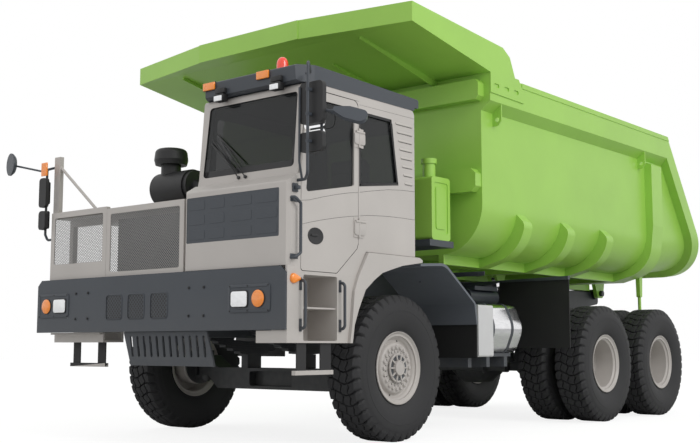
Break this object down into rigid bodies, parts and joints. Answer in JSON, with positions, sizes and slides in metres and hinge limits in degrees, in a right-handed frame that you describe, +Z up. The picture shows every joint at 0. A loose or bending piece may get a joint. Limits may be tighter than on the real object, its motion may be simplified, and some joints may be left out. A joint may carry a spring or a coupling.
{
  "type": "mining dump truck",
  "caption": "Wide-body mining dump truck with a one-person cab, a tipping ribbed body with a cab canopy, steered front wheels, twin rear wheels and an opening door.",
  "frame": {"origin": "on the ground under the middle of the front axle", "axes": "+X to the truck's left, +Y to its rear, +Z up"},
  "size_m": [5.1552, 9.4104, 4.4578],
  "materials": {
    "tyre": "matt",
    "rim_grey": "satin",
    "body_green": "gloss",
    "cab_grey": "satin",
    "slate": "satin",
    "black_plastic": "matt",
    "rubber": "matt",
    "glass": "clear",
    "lamp": "clear",
    "polished": "polished",
    "cast": "rough",
    "seat": "woven"
  },
  "bodies": {
    "chassis": {"air_cleaner": "black_plastic", "air_reservoirs": "black_plastic", "bogie_mount": "slate", "bumper": "slate", "cab_roof": "slate", "cab_shell": "cab_grey", "cab_windows": "glass", "dashboard": "black_plastic", "drive_axles": "slate", "driver_seat": "seat", "engine": "cast", "frame_rails": "slate", "front_axle_beam": "slate", "front_panels": "cab_grey", "fuel_tank": "polished", "grab_handles": "black_plastic", "hydraulic_tank": "body_green", "lamp_trays": "black_plastic", "lamps": "lamp", "mirror_cable": "black_plastic", "mirrors": "black_plastic", "mud_flaps": "rubber", "mudguards": "slate", "nose_panel": "black_plastic", "panel_screens": "black_plastic", "propeller_shafts": "slate", "radiator": "cast", "right_deck": "cab_grey", "side_brackets": "slate", "skid_guard": "slate", "springs": "slate", "steering_wheel": "black_plastic", "step_box": "cab_grey", "step_ladders": "cab_grey", "tank_end_box": "cab_grey"},
    "dump_bed": {"dump_body": "body_green", "body_ribs": "body_green", "body_canopy": "body_green", "rock_ejectors": "body_green"},
    "hoist_barrels": {"hoist_barrels": "slate"},
    "hoist_stage_1": {"hoist_stage_1": "polished"},
    "hoist_stage_2": {"hoist_stage_2": "polished"},
    "hoist_stage_3": {"hoist_stage_3": "polished"},
    "knuckle_left": {"steering_knuckle_left": "slate"},
    "knuckle_right": {"steering_knuckle_right": "slate"},
    "tie_rod": {"tie_rod": "slate"},
    "front_wheel_left": {"front_tyre_left": "tyre", "front_wheel_left": "rim_grey"},
    "front_wheel_right": {"front_tyre_right": "tyre", "front_wheel_right": "rim_grey"},
    "mid_wheels_left": {"mid_tyres_left": "tyre", "mid_wheels_left": "rim_grey"},
    "mid_wheels_right": {"mid_tyres_right": "tyre", "mid_wheels_right": "rim_grey"},
    "rear_wheels_left": {"rear_tyres_left": "tyre", "rear_wheels_left": "rim_grey"},
    "rear_wheels_right": {"rear_tyres_right": "tyre", "rear_wheels_right": "rim_grey"},
    "cab_door": {"cab_door": "cab_grey", "door_glass": "glass"}
  },
  "joints": [
    {"name": "bed_tip", "type": "hinge", "parent": "chassis", "child": "dump_bed", "pos_m": [0, 6.85, 1.8], "axis": [-1, 0, 0], "range_deg": [0, 45]},
    {"name": "hoist_lean", "type": "hinge", "parent": "chassis", "child": "hoist_barrels", "pos_m": [0, 3.6, 0.7], "axis": [-1, 0, 0], "range_deg": [0, 23.46]},
    {"name": "hoist_out_1", "type": "slide", "parent": "hoist_barrels", "child": "hoist_stage_1", "axis": [0, -0.1671, 0.9859], "range_m": [0, 0.84245]},
    {"name": "hoist_out_2", "type": "slide", "parent": "hoist_stage_1", "child": "hoist_stage_2", "axis": [0, -0.1671, 0.9859], "range_m": [0, 0.84245]},
    {"name": "hoist_out_3", "type": "slide", "parent": "hoist_stage_2", "child": "hoist_stage_3", "axis": [0, -0.1671, 0.9859], "range_m": [0, 0.84245]},
    {"name": "steer_left", "type": "hinge", "parent": "chassis", "child": "knuckle_left", "pos_m": [1.16, 0, 0.7475], "axis": [0, 0, 1], "range_deg": [-30, 30]},
    {"name": "steer_right", "type": "hinge", "parent": "chassis", "child": "knuckle_right", "pos_m": [-1.16, 0, 0.7475], "axis": [0, 0, 1], "range_deg": [-30, 30]},
    {"name": "tie_rod_end", "type": "hinge", "parent": "knuckle_left", "child": "tie_rod", "pos_m": [1.16, 0.42, 0.545], "axis": [0, 0, 1], "range_deg": [-30, 30]},
    {"name": "front_spin_left", "type": "hinge", "parent": "knuckle_left", "child": "front_wheel_left", "pos_m": [1.522, 0, 0.7475], "axis": [1, 0, 0], "continuous": true},
    {"name": "front_spin_right", "type": "hinge", "parent": "knuckle_right", "child": "front_wheel_right", "pos_m": [-1.522, 0, 0.7475], "axis": [1, 0, 0], "continuous": true},
    {"name": "mid_spin_left", "type": "hinge", "parent": "chassis", "child": "mid_wheels_left", "pos_m": [1.5405, 4.116, 0.7475], "axis": [1, 0, 0], "continuous": true},
    {"name": "mid_spin_right", "type": "hinge", "parent": "chassis", "child": "mid_wheels_right", "pos_m": [-1.5405, 4.116, 0.7475], "axis": [1, 0, 0], "continuous": true},
    {"name": "rear_spin_left", "type": "hinge", "parent": "chassis", "child": "rear_wheels_left", "pos_m": [1.5405, 5.834, 0.7475], "axis": [1, 0, 0], "continuous": true},
    {"name": "rear_spin_right", "type": "hinge", "parent": "chassis", "child": "rear_wheels_right", "pos_m": [-1.5405, 5.834, 0.7475], "axis": [1, 0, 0], "continuous": true},
    {"name": "door_swing", "type": "hinge", "parent": "chassis", "child": "cab_door", "pos_m": [1.877, -0.867, 2.4], "axis": [0, 0, 1], "range_deg": [0, 75]}
  ],
  "couplings": [
    {"joint": "hoist_lean", "follows": "bed_tip", "ratio": 0.5214},
    {"joint": "hoist_out_1", "follows": "bed_tip", "m_per_rad": 1.0726},
    {"joint": "hoist_out_2", "follows": "bed_tip", "m_per_rad": 1.0726},
    {"joint": "hoist_out_3", "follows": "bed_tip", "m_per_rad": 1.0726},
    {"joint": "steer_right", "follows": "steer_left", "ratio": 1},
    {"joint": "tie_rod_end", "follows": "steer_left", "ratio": -1}
  ]
}
